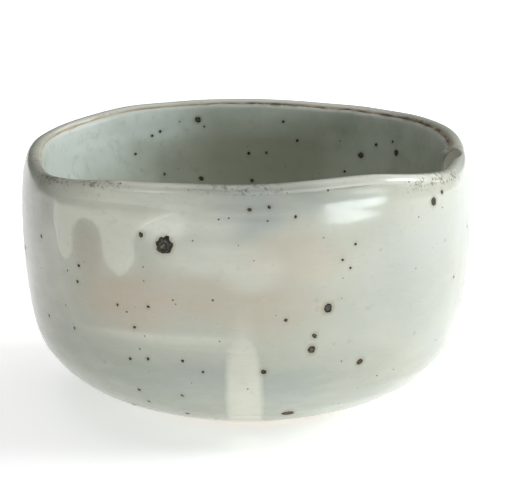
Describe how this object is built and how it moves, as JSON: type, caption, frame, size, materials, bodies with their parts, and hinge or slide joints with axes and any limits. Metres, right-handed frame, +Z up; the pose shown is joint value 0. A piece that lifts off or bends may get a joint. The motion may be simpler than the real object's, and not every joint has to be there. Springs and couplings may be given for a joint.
{
  "type": "tea bowl",
  "caption": "Hand-made stoneware matcha bowl: squeezed round plan, uneven lip with a pressed pouring notch, low foot ring and dripped pale glaze.",
  "frame": {"origin": "on the table, under the middle of the bowl's outline", "axes": "+Z up out of the mouth, +X towards the pouring notch, -Y towards the side with the white pours"},
  "size_m": [0.1205, 0.1205, 0.0727],
  "materials": {
    "bare_clay": "unglazed light stoneware, matt and slightly gritty",
    "base_glaze": "pale grey-green semi-gloss glaze with blush and fine iron speckle",
    "inner_glaze": "grey celadon glaze, glossy",
    "white_glaze": "warm white poured glaze, soft gloss",
    "iron_spot": "dark iron melted through the glaze, glossy"
  },
  "bodies": {
    "root": {"clay_body": "bare_clay", "foot_ring": "bare_clay", "outer_glaze": "base_glaze", "inner_glaze": "inner_glaze", "white_pour_left": "white_glaze", "white_run_front": "white_glaze", "iron_spots_outside": "iron_spot", "iron_spots_inside": "iron_spot"}
  },
  "joints": []
}
